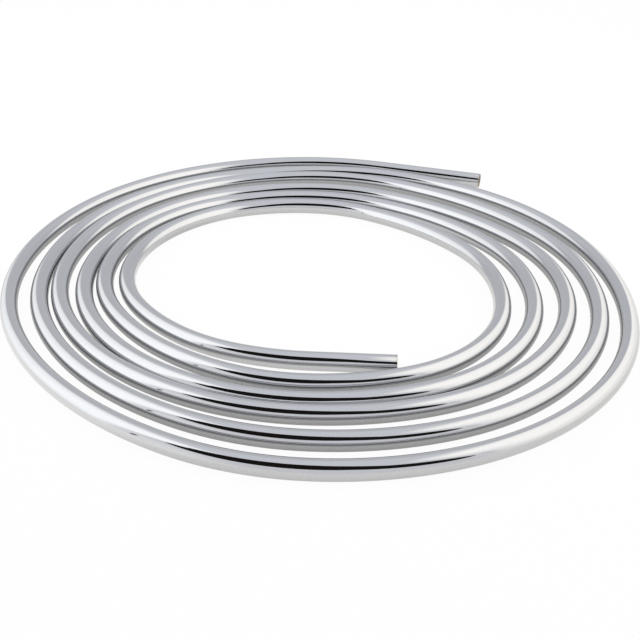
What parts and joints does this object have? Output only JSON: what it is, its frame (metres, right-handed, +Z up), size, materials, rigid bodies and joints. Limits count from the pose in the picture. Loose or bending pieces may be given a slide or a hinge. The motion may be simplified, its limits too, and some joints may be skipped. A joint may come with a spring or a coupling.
{
  "type": "copper tube coil",
  "caption": "Length of chrome-plated copper tube wound into a flat, loose, open spiral with square-cut ends, for plumbing connections.",
  "frame": {"origin": "middle of the coil's box, on the floor that it lies on", "axes": "+Z up, along the coil's short height; +X to the right and +Y to the back, seen from the front, where the inner end lies"},
  "size_m": [0.362, 0.3756, 0.01],
  "materials": {
    "tube": "mirror-bright chrome plate on copper; a faint copper tint on the cut rims and bare copper in the bore"
  },
  "bodies": {
    "root": {"copper_tube": "tube"}
  },
  "joints": []
}
